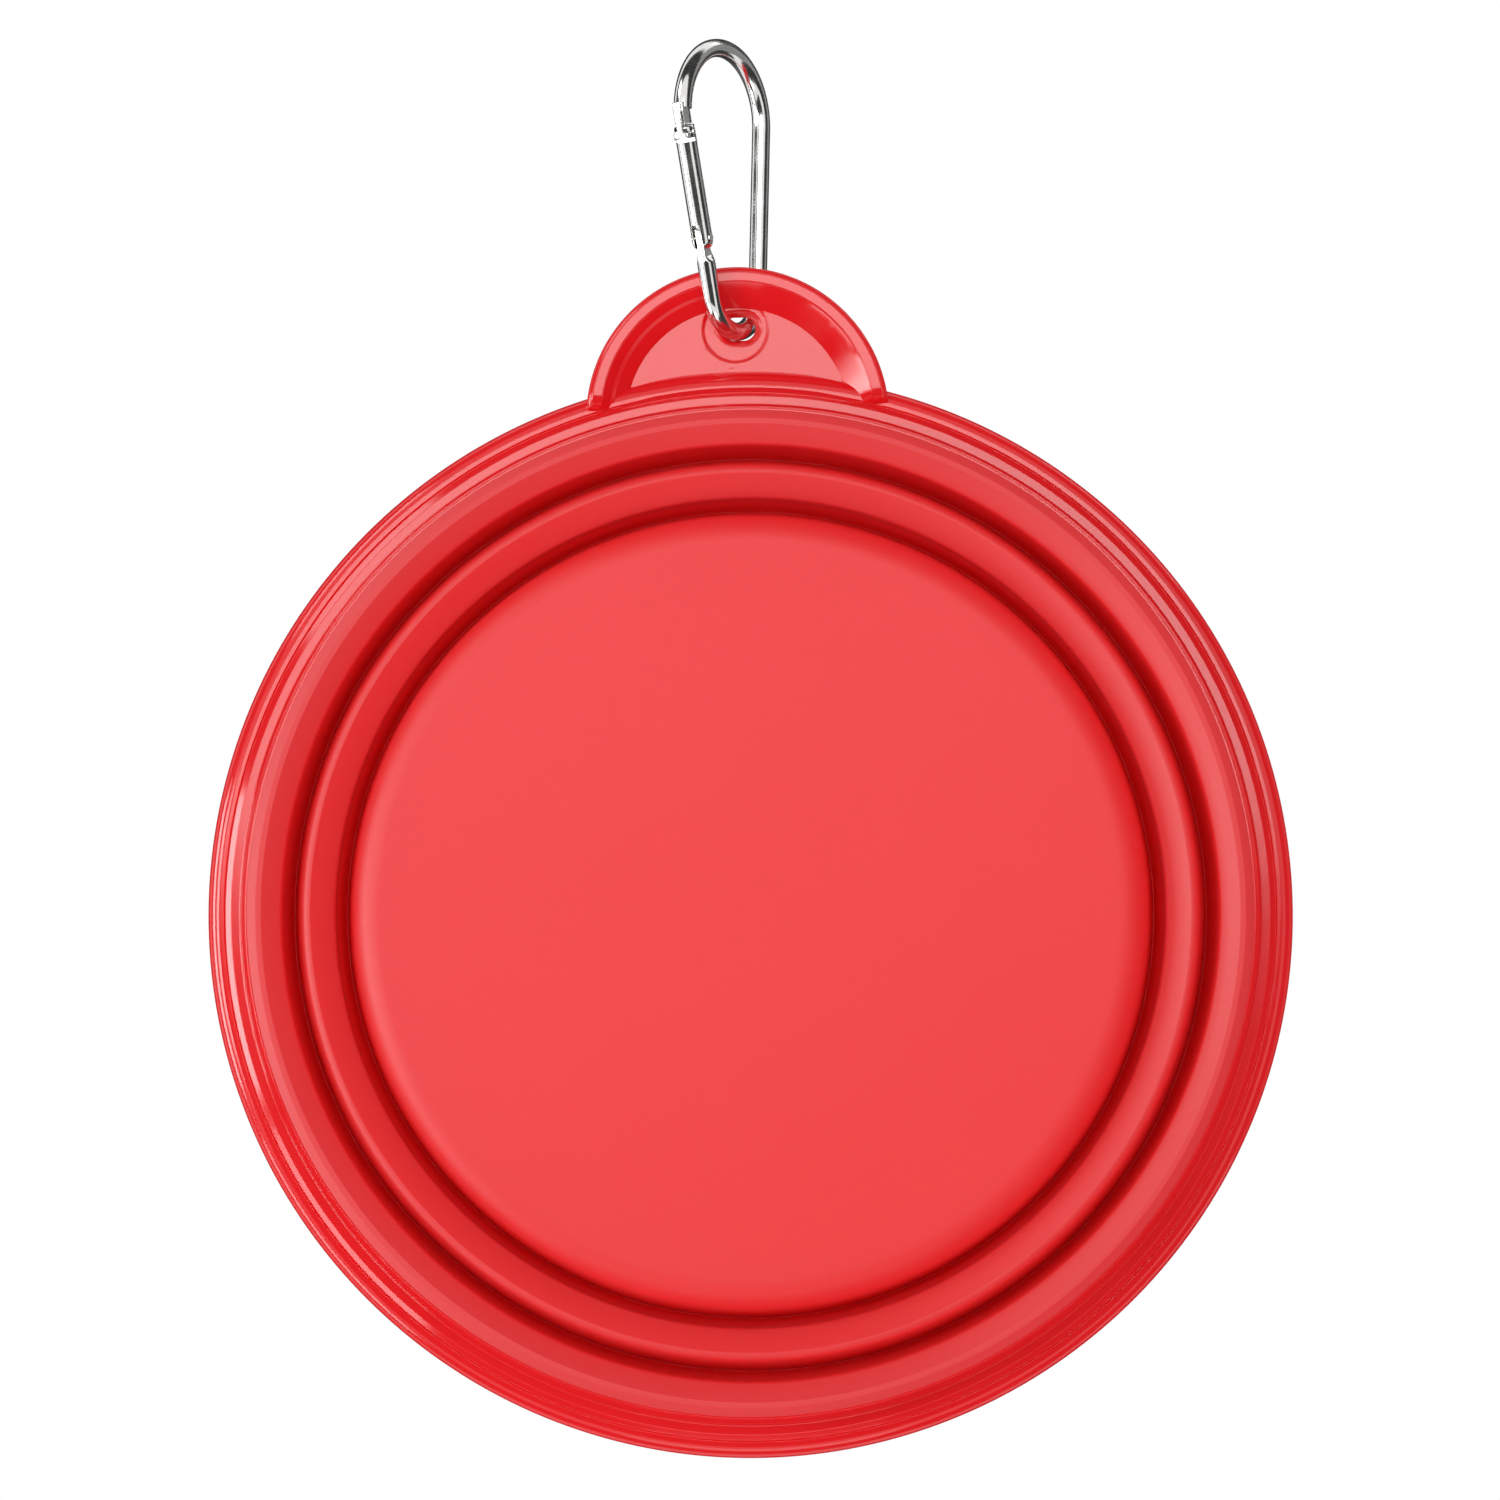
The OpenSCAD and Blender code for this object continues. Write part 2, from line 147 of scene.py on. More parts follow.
def silicone_finish(name, glow):
    """Satin rubber with a share of its light scattered below the skin."""
    finish, tree, shader, link = new_finish(name)
    cloud = noise_factor(tree, SILICONE_CLOUD)
    grain = noise_factor(tree, GRAIN_SCALE, GRAIN_SPREAD)
    place = node(tree, "ShaderNodeTexCoord")
    dust = node(tree, "ShaderNodeTexVoronoi")
    dust.inputs["Scale"].default_value = DUST_SCALE
    link(place.outputs["Object"], dust.inputs["Vector"])
    near = node(tree, "ShaderNodeMath", operation="LESS_THAN", in_1=SPECK_R)
    link(dust.outputs["Distance"], near.inputs[0])
    split = node(tree, "ShaderNodeSeparateColor")
    link(dust.outputs["Color"], split.inputs[0])
    rare = node(tree, "ShaderNodeMath", operation="GREATER_THAN", in_1=DUST_FREE)
    link(split.outputs[0], rare.inputs[0])
    speck = node(tree, "ShaderNodeMath", operation="MULTIPLY")
    link(near.outputs[0], speck.inputs[0])
    link(rare.outputs[0], speck.inputs[1])
    skin = mixed(tree, cloud, SILICONE_DEEP, SILICONE_RED)
    link(mixed(tree, speck.outputs[0], skin, SPECK_PINK), shader.inputs["Base Color"])
    vary(tree, grain, shader.inputs["Roughness"], *SILICONE_ROUGH)
    link(bumped(tree, grain, GRAIN_BUMP, BUMP_DEPTH), shader.inputs["Normal"])
    shader.inputs["IOR"].default_value = IOR
    shader.inputs["Subsurface Weight"].default_value = glow
    shader.inputs["Subsurface Radius"].default_value = GLOW_RADIUS
    shader.inputs["Subsurface Scale"].default_value = GLOW_SCALE
    return finish


silicone = silicone_finish("satin_silicone", GLOW)


def arc_corner(before, at, after, radius):
    """Points of the round that takes the place of one corner of an outline."""
    before, at, after = Vector(before), Vector(at), Vector(after)
    a, b = (before - at).normalized(), (after - at).normalized()
    half = a.angle(b) / 2
    centre = at + (a + b).normalized() * radius / math.sin(half)
    first = at + a * radius / math.tan(half) - centre
    last = at + b * radius / math.tan(half) - centre
    start = math.atan2(first.y, first.x)
    turn = (math.atan2(last.y, last.x) - start + 3 * math.pi) % math.tau - math.pi
    angles = (start + turn * i / CORNER_STEPS for i in range(CORNER_STEPS + 1))
    return [centre + radius * Vector((math.cos(t), math.sin(t))) for t in angles]


def rounded(corners):
    """Outline from corners (radius, height, rounding), in millimetres."""
    points = []
    for i, (x, y, radius) in enumerate(corners):
        if radius > 0:
            before, after = corners[i - 1][:2], corners[(i + 1) % len(corners)][:2]
            points += arc_corner(before, (x, y), after, radius)
        else:
            points.append(Vector((x, y)))
    return points


def new_tree(name, inputs, output):
    """Geometry nodes tree with named inputs and one output, and its two end nodes."""
    tree = bpy.data.node_groups.new(name, "GeometryNodeTree")
    for label, kind in inputs:
        tree.interface.new_socket(label, in_out="INPUT", socket_type="NodeSocket" + kind)
    tree.interface.new_socket(output, in_out="OUTPUT", socket_type="NodeSocketGeometry")
    return tree, node(tree, "NodeGroupInput"), node(tree, "NodeGroupOutput")


def end_tree(tree, geometry, given, result):
    """Last nodes of a tree: smooth shading, real geometry and the given finish."""
    smooth = node(tree, "GeometryNodeSetShadeSmooth")
    real = node(tree, "GeometryNodeRealizeInstances")
    paint = node(tree, "GeometryNodeSetMaterial")
    link = tree.links.new
    link(geometry, smooth.inputs[0])
    link(smooth.outputs[0], real.inputs[0])
    link(real.outputs[0], paint.inputs[0])
    link(given.outputs["Finish"], paint.inputs["Material"])
    link(paint.outputs[0], result.inputs[0])
    return tree


def turning_tree():
    """Geometry nodes that turn an outline round the bowl's axis, as a moulding tool is turned."""
    tree, given, result = new_tree("turned_moulding", (
        ("Outline", "Geometry"), ("Path radius", "Float"),
        ("Steps", "Int"), ("Finish", "Material")), "Moulding")
    outline = node(tree, "GeometryNodeMeshToCurve")
    path = node(tree, "GeometryNodeCurvePrimitiveCircle")
    sweep = node(tree, "GeometryNodeCurveToMesh")
    weld = node(tree, "GeometryNodeMergeByDistance")
    weld.inputs["Distance"].default_value = WELD
    link = tree.links.new
    link(given.outputs["Outline"], outline.inputs[0])
    link(given.outputs["Path radius"], path.inputs["Radius"])
    link(given.outputs["Steps"], path.inputs["Resolution"])
    link(path.outputs[0], sweep.inputs["Curve"])
    link(outline.outputs[0], sweep.inputs["Profile Curve"])
    link(sweep.outputs[0], weld.inputs[0])
    return end_tree(tree, weld.outputs[0], given, result)


def made_by(tree, name, points, edges, inputs):
    """Plain mesh object that a node tree makes from a line drawing and named inputs."""
    drawing = bpy.data.meshes.new(name + "_drawing")
    drawing.from_pydata(points, edges, [])
    piece = bpy.data.objects.new(name, drawing)
    bpy.context.collection.objects.link(piece)
    modifier = piece.modifiers.new(tree.name, "NODES")
    modifier.node_group = tree
    for item in tree.interface.items_tree:
        if item.in_out == "INPUT" and item.name in inputs:
            modifier[item.identifier] = inputs[item.name]
    evaluated = piece.evaluated_get(bpy.context.evaluated_depsgraph_get())
    mesh = bpy.data.meshes.new_from_object(evaluated)
    piece.modifiers.remove(modifier)
    piece.data = mesh
    mesh.name = name
    bpy.data.meshes.remove(drawing)
    return piece


def faced_out(piece, sharp=SHARP_ANGLE):
    """Turns a closed piece's faces outwards and keeps its real edges crisp."""
    shape = bmesh.new()
    shape.from_mesh(piece.data)
    bmesh.ops.dissolve_degenerate(shape, dist=NO_LENGTH, edges=shape.edges)
    bmesh.ops.recalc_face_normals(shape, faces=shape.faces)
    for edge in shape.edges:
        edge.smooth = len(edge.link_faces) == 2 and edge.calc_face_angle() < sharp
    for face in shape.faces:
        face.smooth = True
    shape.to_mesh(piece.data)
    shape.free()
    return piece


turning = turning_tree()


def turned(name, outline, finish, closed=True):
    """Piece turned round the bowl's axis from an outline of (radius, height) in millimetres."""
    points = [((p.x - PATH_R) * MM, -p.y * MM, 0) for p in outline]
    count = len(points)
    edges = [(i, (i + 1) % count) for i in range(count if closed else count - 1)]
    inputs = {"Path radius": PATH_R * MM, "Steps": ROUND_STEPS, "Finish": finish}
    return faced_out(made_by(turning, name, points, edges, inputs))


def cup_out(z):
    """Radius of the cup's outside at a height."""
    return CUP_R - (STAGE_H - z) * DRAFT


cup_moulding = turned("cup_moulding", rounded([
    (0, 0, 0),
    (cup_out(0), 0, BASE_ROUND),
    (CUP_R, STAGE_H, 0),
    (CUP_R - BAND_T, STAGE_H, 0),
    (cup_out(FLOOR_T) - BAND_T, FLOOR_T, FLOOR_ROUND),
    (0, FLOOR_T, 0)]), silicone, closed=False)
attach(cup_moulding, "base")
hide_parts("base_cup")


# Lower fold: the thin web that climbs inwards from the middle band's crest and rolls over onto the
# cup's edge. It is part of the same silicone moulding and flips over when the bowl opens.
FOLD_T = 1.0
VALLEY_W = 0.05
CAP_H = 1.6
CAP_ROUND = 0.7
FOOT_LAP = 0.5
SEAM_LAP = 0.004
FOLD_STEP = 0.5
LOWER_BREAK = Vector((49.4, 3.2))


def web_under(inner_r, bend, z):
    """Radius of a web's under side, from the break over its crest to the valley at the wall."""
    return bend.x + (inner_r + VALLEY_W - bend.x) * (z - bend.y) / (STAGE_H - bend.y)


def web_over(inner_r, bend, z):
    """Radius of a web's upper side, a web's thickness from its under side."""
    lean = (inner_r + VALLEY_W - bend.x) / (STAGE_H - bend.y)
    return web_under(inner_r, bend, z) + FOLD_T * math.hypot(1, lean)


def divided(points, longest):
    """The same closed outline with every long stretch cut into short ones."""
    cut = []
    for a, b in zip(points, points[1:] + points[:1]):
        parts = max(1, math.ceil((b - a).length / longest))
        cut += [a.lerp(b, k / parts) for k in range(parts)]
    return cut


def fold_outline(inner_r, bend):
    """Outline of a fold web, from inside the crest to the rolled cap on the inner wall."""
    cap_z = STAGE_H + CAP_H
    foot_z = bend.y + FOOT_LAP
    return divided(rounded([
        (web_under(inner_r, bend, foot_z) + SEAM_LAP, foot_z, 0),
        (inner_r + VALLEY_W, STAGE_H, 0),
        (inner_r - BAND_T, STAGE_H, 0),
        (inner_r - BAND_T, cap_z, CAP_ROUND),
        (web_over(inner_r, bend, cap_z), cap_z, CAP_ROUND),
        (web_over(inner_r, bend, foot_z) - SEAM_LAP, foot_z, 0)]), FOLD_STEP)


def flip(web):
    """Bakes a web's placement into its mesh."""
    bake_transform(web)


lower_web = turned("lower_web", fold_outline(CUP_R, LOWER_BREAK), silicone)
flip(lower_web)
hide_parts("lower_fold")


# Middle band: the stiffer drafted ring between the two folds, of the same silicone moulding. Its
# lower edge is the blunt, bevelled crest that the lower fold hangs on.
BAND_R = 54.57
CREST_Z = 1.1
CREST_ROUND = 0.22
BREAK_ROUND = 0.7
STUB_H = 1.2
LOWER_ROOT = 3.46
BAND_CREST = ((52.25, CREST_ROUND), (53.1, 0.9))


def wall_outline(inner_r, bend, top, root, thick, crest):
    """Outline of a wall that ends in a fold's crest, with a short stub of the web on it."""
    stub_z = bend.y + STUB_H
    return rounded([
        (top.x, top.y, 0),
        (top.x - thick, top.y, 0),
        (root.x - thick, root.y, 0),
        (web_over(inner_r, bend, stub_z), stub_z, 0),
        (web_under(inner_r, bend, stub_z), stub_z, 0),
        (bend.x, bend.y, BREAK_ROUND)] + crest)


band_top = Vector((BAND_R, STAGE_H))
band_root = Vector((BAND_R - (STAGE_H - LOWER_ROOT) * DRAFT, LOWER_ROOT))
band_crest = [(r, CREST_Z, edge) for r, edge in BAND_CREST]
band_moulding = turned("band_moulding", wall_outline(
    CUP_R, LOWER_BREAK, band_top, band_root, BAND_T, band_crest), silicone)
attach(band_moulding, "middle")
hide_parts("middle_band")


# Upper fold: the second web of the silicone moulding, from the cuff's crest to the middle band's
# upper edge. It has the same rolled cap as the lower one.
UPPER_BREAK = Vector((55.75, 2.7))
upper_web = turned("upper_web", fold_outline(BAND_R, UPPER_BREAK), silicone)
flip(upper_web)
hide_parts("upper_fold")


# Wall cuff: the outer edge of the silicone moulding, bonded to the inside of the rim's skirt. Its
# crest is broader than the middle band's and wraps the skirt's lower edge with an outer bevel.
# The hard skirt behind it takes up most of the light that the rubber would scatter.
BACKED_GLOW = 0.1
CUFF_T = 1.1
CUFF_R = 58.868
CUFF_CREST = (58.1, 58.75)
UPPER_ROOT = 2.94
FLANGE_Z = 12.2
WRAP_R = 59.8
WRAP_Z = 1.65
WRAP_END_Z = 2.1
WRAP_ROUND = 0.15


def cuff_out(z):
    """Radius of the cuff's outside at a height."""
    return CUFF_R + (z - CREST_Z) * DRAFT


backed_silicone = silicone_finish("backed_silicone", BACKED_GLOW)
cuff_top = Vector((cuff_out(FLANGE_Z), FLANGE_Z))
cuff_root = Vector((cuff_out(UPPER_ROOT), UPPER_ROOT))
cuff_crest = [(r, CREST_Z, CREST_ROUND) for r in CUFF_CREST] + [
    (WRAP_R, WRAP_Z, WRAP_ROUND),
    (WRAP_R, WRAP_END_Z, 0),
    (cuff_out(WRAP_END_Z), WRAP_END_Z, 0)]
cuff_moulding = turned("cuff_moulding", wall_outline(
    BAND_R, UPPER_BREAK, cuff_top, cuff_root, CUFF_T, cuff_crest), backed_silicone)
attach(cuff_moulding, "rim")
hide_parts("wall_cuff")


# Rim: the hard ring round the bowl's mouth, moulded in glossy red plastic over the silicone cuff.
# A drafted skirt hangs from its lip, which has a flat band, a fine groove and a rounded bead, and
# a flange closes it over the cuff.
PLASTIC_RED = (0.95, 0.014, 0.02, 1)
PLASTIC_DEEP = (0.91, 0.013, 0.018, 1)
PLASTIC_ROUGH = (0.1, 0.14)
PLASTIC_CLOUD = 40
PEEL_SPREAD = 0.25
RIM_PEEL_SCALE = 250
RIM_PEEL = 0.04
RIM_R = 65
FOLDED_H = 14
LIP_H = 5.2
LIP_W = 4.0
LIP_ROUND = 1.9
LIP_Z = FOLDED_H - LIP_H
SKIRT_T = 1.0
SKIRT_FOOT = 1.8
SKIRT_ROUND = 0.1
GROOVE_R = 62.85
GROOVE_W = 0.7
GROOVE_H = 0.45
GROOVE_ROUND = 0.08
BEAD_W = 0.18
BEAD_H = 0.3
BEAD_EDGE = 0.12
BEAD_ROUND = 1.7
FLANGE_OVER = 0.4
EDGE_R = 0.3
SOFT_EDGE_R = 0.7


def plastic_finish(name, peel_scale, peel):
    """Glossy plastic with the faint orange peel of its moulding tool."""
    finish, tree, shader, link = new_finish(name)
    cloud = noise_factor(tree, PLASTIC_CLOUD)
    skin = noise_factor(tree, peel_scale, PEEL_SPREAD)
    link(mixed(tree, cloud, PLASTIC_DEEP, PLASTIC_RED), shader.inputs["Base Color"])
    vary(tree, cloud, shader.inputs["Roughness"], *PLASTIC_ROUGH)
    link(bumped(tree, skin, peel, BUMP_DEPTH), shader.inputs["Normal"])
    shader.inputs["IOR"].default_value = IOR
    return finish


rim_plastic = plastic_finish("gloss_plastic", RIM_PEEL_SCALE, RIM_PEEL)


def skirt_out(z):
    """Radius of the skirt's outside at a height."""
    return RIM_R - LIP_W - (LIP_Z - z) * DRAFT


flange_in = cuff_out(FLANGE_Z) - CUFF_T - FLANGE_OVER
rim_moulding = turned("rim_moulding", rounded([
    (flange_in, FLANGE_Z, EDGE_R),
    (skirt_out(FLANGE_Z) - SKIRT_T, FLANGE_Z, 0),
    (skirt_out(SKIRT_FOOT) - SKIRT_T, SKIRT_FOOT, 0),
    (skirt_out(SKIRT_FOOT), SKIRT_FOOT, SKIRT_ROUND),
    (skirt_out(LIP_Z), LIP_Z, EDGE_R),
    (GROOVE_R - GROOVE_W, LIP_Z, EDGE_R),
    (GROOVE_R, LIP_Z + GROOVE_H, GROOVE_ROUND),
    (GROOVE_R + BEAD_W, LIP_Z + BEAD_H, BEAD_EDGE),
    (RIM_R, LIP_Z + BEAD_H, BEAD_ROUND),
    (RIM_R, FOLDED_H, LIP_ROUND),
    (flange_in, FOLDED_H, SOFT_EDGE_R)]), rim_plastic)
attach(rim_moulding, "rim")
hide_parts("rim_ring")


# Tab border: the raised half-moon edge of the hanging tab, moulded in one with the plastic rim. Its
# ends run out in soft noses on the underside of the lip, and a fine step runs along its inner wall.
TAB_R = 18.2
TAB_OUT = 12.7
TAB_Y = RIM_R + TAB_OUT - TAB_R
TAB_TOP = 13.0
TAB_BOTTOM = 8.0
WEB_TOP = 11.9
WEB_BOTTOM = 10.3
WEB_R = 13.9
POCKET_R = 13.4
RECESS_R = 14.2
STEP_IN_R = 14.95
STEP_IN_Z = 9.11
STEP_OUT_R = 15.35
STEP_OUT_Z = 8.8
STEP_H = 0.22
STEP_LEAST = 0.03
STEP_ROUND = 0.15
BORDER_IN_R = 16.4
BORDER_IN_ROUND = 0.5
BORDER_ROUND = 0.8
BORDER_STEPS = 168
END_ANGLE = math.radians(4.4)
NOSE_ANGLE = math.radians(7)
NOSE_LIFT = 0.95


def mesh_piece(name, points, faces, finish):
    """Mesh object in millimetres of the given points and faces."""
    mesh = bpy.data.meshes.new(name)
    mesh.from_pydata([(x * MM, y * MM, z * MM) for x, y, z in points], [], faces)
    mesh.materials.append(finish)
    piece = bpy.data.objects.new(name, mesh)
    bpy.context.collection.objects.link(piece)
    return piece


def ring_faces(rings, count):
    """Quads between consecutive rings of points, each ring closed on itself."""
    faces = []
    for i in range(rings - 1):
        a, b = i * count, (i + 1) * count
        faces += [(a + k, a + (k + 1) % count, b + (k + 1) % count, b + k) for k in range(count)]
    return faces


def capped_faces(rings, count):
    """Faces of a closed solid through rings of points, with a flat cap on each end."""
    last = (rings - 1) * count
    caps = [tuple(range(count)), tuple(last + k for k in reversed(range(count)))]
    return ring_faces(rings, count) + caps


def border_section(step):
    """Section of the border, with a step of the given height in the wall of the pocket."""
    return rounded([
        (POCKET_R, WEB_BOTTOM, 0),
        (STEP_IN_R, STEP_IN_Z, STEP_ROUND),
        (STEP_OUT_R, STEP_OUT_Z + step, STEP_ROUND),
        (BORDER_IN_R, TAB_BOTTOM, BORDER_IN_ROUND),
        (TAB_R, TAB_BOTTOM, BORDER_ROUND),
        (TAB_R, TAB_TOP, SOFT_EDGE_R),
        (RECESS_R, TAB_TOP, EDGE_R),
        (WEB_R, WEB_TOP, EDGE_R),
        (POCKET_R, WEB_TOP, 0)])


border_points = []
for i in range(BORDER_STEPS + 1):
    angle = END_ANGLE + (math.pi - 2 * END_ANGLE) * i / BORDER_STEPS
    c, s = math.cos(angle), math.sin(angle)
    near_end = min(angle, math.pi - angle) - END_ANGLE
    rest = max(0, 1 - near_end / NOSE_ANGLE)
    lift = NOSE_LIFT * (1 - math.sqrt(1 - rest * rest))
    for p in border_section(STEP_H * max(STEP_LEAST, c)):
        share = max(0, (WEB_BOTTOM - p.y) / (WEB_BOTTOM - TAB_BOTTOM))
        border_points.append((p.x * c, TAB_Y + p.x * s, p.y + lift * share))
border_faces = capped_faces(BORDER_STEPS + 1, len(border_section(STEP_H)))
tab_border = faced_out(mesh_piece("tab_border", border_points, border_faces, rim_plastic))
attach(tab_border, "rim")


# Tab web: the thin plate in the pocket of the tab, with fine orange peel from the tool, an oblong
# hole with a rounded edge for the carabiner, and the round hollow that leads into it.
WEB_PEEL_SCALE = 1500
WEB_PEEL = 0.22
HOLE_X = -0.48
HOLE_Y = 70.48
HOLE_R = 1.4
HOLE_END = 0.52
HOLE_EDGE = 0.4
HOLE_MOUTH = 1.0
HOLLOW_Y = 70.3
HOLLOW_R = 4.1
HOLLOW_H = 0.2
HOLLOW_EDGE = 0.45
RAYS = 200
RINGS = 110
RING_CROWD = 1.7
WEB_ROOT_R = 64.5

web_plastic = plastic_finish("peel_plastic", WEB_PEEL_SCALE, WEB_PEEL)


def hole_reach(c, s):
    """Distance from the hole's centre to its wall, in the direction (c, s)."""
    if abs(s) * HOLE_END > abs(c) * HOLE_R:
        return HOLE_R / abs(s)
    along = HOLE_END * abs(c)
    return along + math.sqrt(HOLE_R ** 2 - (HOLE_END * s) ** 2)


def circle_reach(c, s, centre_y, radius):
    """Distances from the hole's centre, in the direction (c, s), to a circle about x = 0."""
    lift = HOLE_Y - centre_y
    along = HOLE_X * c + lift * s
    square = along ** 2 - HOLE_X ** 2 - lift ** 2 + radius ** 2
    return [-along - math.sqrt(square), -along + math.sqrt(square)] if square > 0 else []


def web_reach(c, s):
    """Distance from the hole's centre to where the plate ends in the border or in the lip."""
    ends = [circle_reach(c, s, TAB_Y, WEB_R)[1]]
    if s < 0:
        ends += circle_reach(c, s, 0, WEB_ROOT_R)[:1]
    return min(ends)


def web_points(bottom):
    """Points of one side of the plate, in rings that crowd towards the hole."""
    edge_r = HOLE_MOUTH if bottom else HOLE_EDGE
    points = []
    for j in range(RINGS + 1):
        for i in range(RAYS):
            angle = math.tau * i / RAYS
            c, s = math.cos(angle), math.sin(angle)
            first, last = hole_reach(c, s), web_reach(c, s)
            out = (last - first) * (j / RINGS) ** RING_CROWD
            x, y = HOLE_X + (first + out) * c, HOLE_Y + (first + out) * s
            inset = max(0, edge_r - out)
            edge = edge_r - math.sqrt(edge_r ** 2 - inset ** 2)
            if bottom:
                into = (HOLLOW_R - math.hypot(x, y - HOLLOW_Y)) / HOLLOW_EDGE
                into = min(1, max(0, into))
                hollow = HOLLOW_H * into * into * (3 - 2 * into)
                points.append((x, y, WEB_BOTTOM + hollow + edge))
            else:
                points.append((x, y, WEB_TOP - edge))
    return points


under, over = web_points(True), web_points(False)
size, last = len(under), RINGS * RAYS
web_faces = ring_faces(RINGS + 1, RAYS)
web_faces += [tuple(size + k for k in reversed(f)) for f in web_faces]
for i in range(RAYS):
    j = (i + 1) % RAYS
    web_faces.append((i, size + i, size + j, j))
    web_faces.append((last + i, last + j, size + last + j, size + last + i))
tab_web = faced_out(mesh_piece("tab_web", under + over, web_faces, web_plastic))
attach(tab_web, "rim")


# Tab root: the sloped wall that closes the pocket along the lip, in the same moulding as the rim.
# It sinks into the border's ends on both sides.
ROOT_ANGLE = math.radians(13)
ROOT_STEPS = 48
ROOT_SINK = 0.4
ROOT_FADE = 8
ROOT_OUT_R = 65.6
ROOT_WEB_Z = 10.36
ROOT_TOP_Z = 11.5
ROOT_IN_R = 62.2
ROOT_LIP_Z = 8.82
ROOT_INNER_Z = 9.4
ROOT_FOOT = (65, 10.27, 0.5)
ROOT_CREST = (62.55, 8.68, 0.15)
root_section = rounded([
    (ROOT_OUT_R, ROOT_WEB_Z, 0),
    ROOT_FOOT,
    ROOT_CREST,
    (ROOT_IN_R, ROOT_LIP_Z, 0),
    (ROOT_IN_R, ROOT_INNER_Z, 0),
    (ROOT_OUT_R, ROOT_TOP_Z, 0)])
root_points = []
for i in range(ROOT_STEPS + 1):
    share = 2 * i / ROOT_STEPS - 1
    c, s = math.cos(ROOT_ANGLE * share), math.sin(ROOT_ANGLE * share)
    sink = ROOT_SINK * share ** ROOT_FADE
    root_points += [(p.x * s, p.x * c, p.y + sink) for p in root_section]
root_faces = capped_faces(ROOT_STEPS + 1, len(root_section))
tab_root = faced_out(mesh_piece("tab_root", root_points, root_faces, rim_plastic))
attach(tab_root, "rim")


# Carabiner frame: one length of round steel wire, bent to a small eye and a wide arch and plated
# with bright nickel. One end is pressed flat for the hinge, the other cut to a cross-headed nose.
NICKEL_DULL = (0.74, 0.73, 0.71, 1)
NICKEL_BRIGHT = (0.83, 0.83, 0.82, 1)
NICKEL_ROUGH = (0.1, 0.18)
NICKEL_CLOUD = 300
NICKEL_DETAIL = 3
DRAWN_SCALE = 1800
DRAWN_BUMP = 0.06
DRAWN_DEPTH = 0.00005
WIRE_R = 1.1
BEND_R = 5.0
ARCH_R = 8.4
HOOK_SPAN = 20.8
HINGE_AT = 7.2
NOSE_OVER = 2.4
NECK_L = 2.1
LUG_NECK = 2.9
FLARE = math.asin((ARCH_R - BEND_R) / HOOK_SPAN)
LEG_L = HOOK_SPAN * math.cos(FLARE)
LEG_FOOT = Vector((-BEND_R * math.cos(FLARE), -BEND_R * math.sin(FLARE), 0))
LEG_DIR = Vector((-math.sin(FLARE), math.cos(FLARE), 0))
HINGE = LEG_FOOT + HINGE_AT * LEG_DIR
GATE_L = LEG_L + NOSE_OVER - HINGE_AT - NECK_L
WIRE_STEP = 0.25
WIRE_SIDES = 40
WIRE_SHARP = math.radians(60)
HUNG_AT = (0, 75.1, 10.5)
HUNG_TURNS = (("Z", -2.5), ("X", -4), ("Y", 236))

hung = Matrix.Translation(HUNG_AT)
for axis, degrees in HUNG_TURNS:
    hung = hung @ Matrix.Rotation(math.radians(degrees), 4, axis)
at_hinge = hung @ Matrix.Translation(HINGE) @ Matrix.Rotation(math.pi / 2 + FLARE, 4, "Z")


def nickel_finish():
    """Bright plating, a little clouded, over the fine marks of wire drawing."""
    finish, tree, shader, link = new_finish("bright_nickel")
    cloud = noise_factor(tree, NICKEL_CLOUD, detail=NICKEL_DETAIL)
    marks = noise_factor(tree, DRAWN_SCALE)
    link(mixed(tree, cloud, NICKEL_DULL, NICKEL_BRIGHT), shader.inputs["Base Color"])
    vary(tree, cloud, shader.inputs["Roughness"], *NICKEL_ROUGH)
    link(bumped(tree, marks, DRAWN_BUMP, DRAWN_DEPTH), shader.inputs["Normal"])
    shader.inputs["Metallic"].default_value = 1
    return finish


nickel = nickel_finish()


def wire_tree():
    """Geometry nodes that draw a round wire along a path."""
    tree, given, result = new_tree("drawn_wire", (
        ("Path", "Geometry"), ("Wire radius", "Float"),
        ("Sides", "Int"), ("Finish", "Material")), "Wire")
    path = node(tree, "GeometryNodeMeshToCurve")
    section = node(tree, "GeometryNodeCurvePrimitiveCircle")
    sweep = node(tree, "GeometryNodeCurveToMesh")
    sweep.inputs["Fill Caps"].default_value = True
    link = tree.links.new
    link(given.outputs["Path"], path.inputs[0])
    link(given.outputs["Wire radius"], section.inputs["Radius"])
    link(given.outputs["Sides"], section.inputs["Resolution"])
    link(path.outputs[0], sweep.inputs["Curve"])
    link(section.outputs[0], sweep.inputs["Profile Curve"])
    return end_tree(tree, sweep.outputs[0], given, result)


drawing_wire = wire_tree()


def drawn(name, path, radius, sides):
    """Wire along a path of points in millimetres."""
    points = [tuple(p * MM) for p in path]
    edges = [(i, i + 1) for i in range(len(points) - 1)]
    inputs = {"Wire radius": radius * MM, "Sides": sides, "Finish": nickel}
    return faced_out(made_by(drawing_wire, name, points, edges, inputs), WIRE_SHARP)


def arc_path(centre, radius, start, end):
    """Points of an arc, with both of its ends."""
    count = math.ceil(abs(end - start) * radius / WIRE_STEP)
    angles = (start + (end - start) * i / count for i in range(count + 1))
    return [centre + radius * Vector((math.cos(a), math.sin(a), 0)) for a in angles]


def straight_path(start, end):
    """Points of a straight stretch, without its ends."""
    count = math.ceil((end - start).length / WIRE_STEP)
    return [start.lerp(end, i / count) for i in range(1, count)]


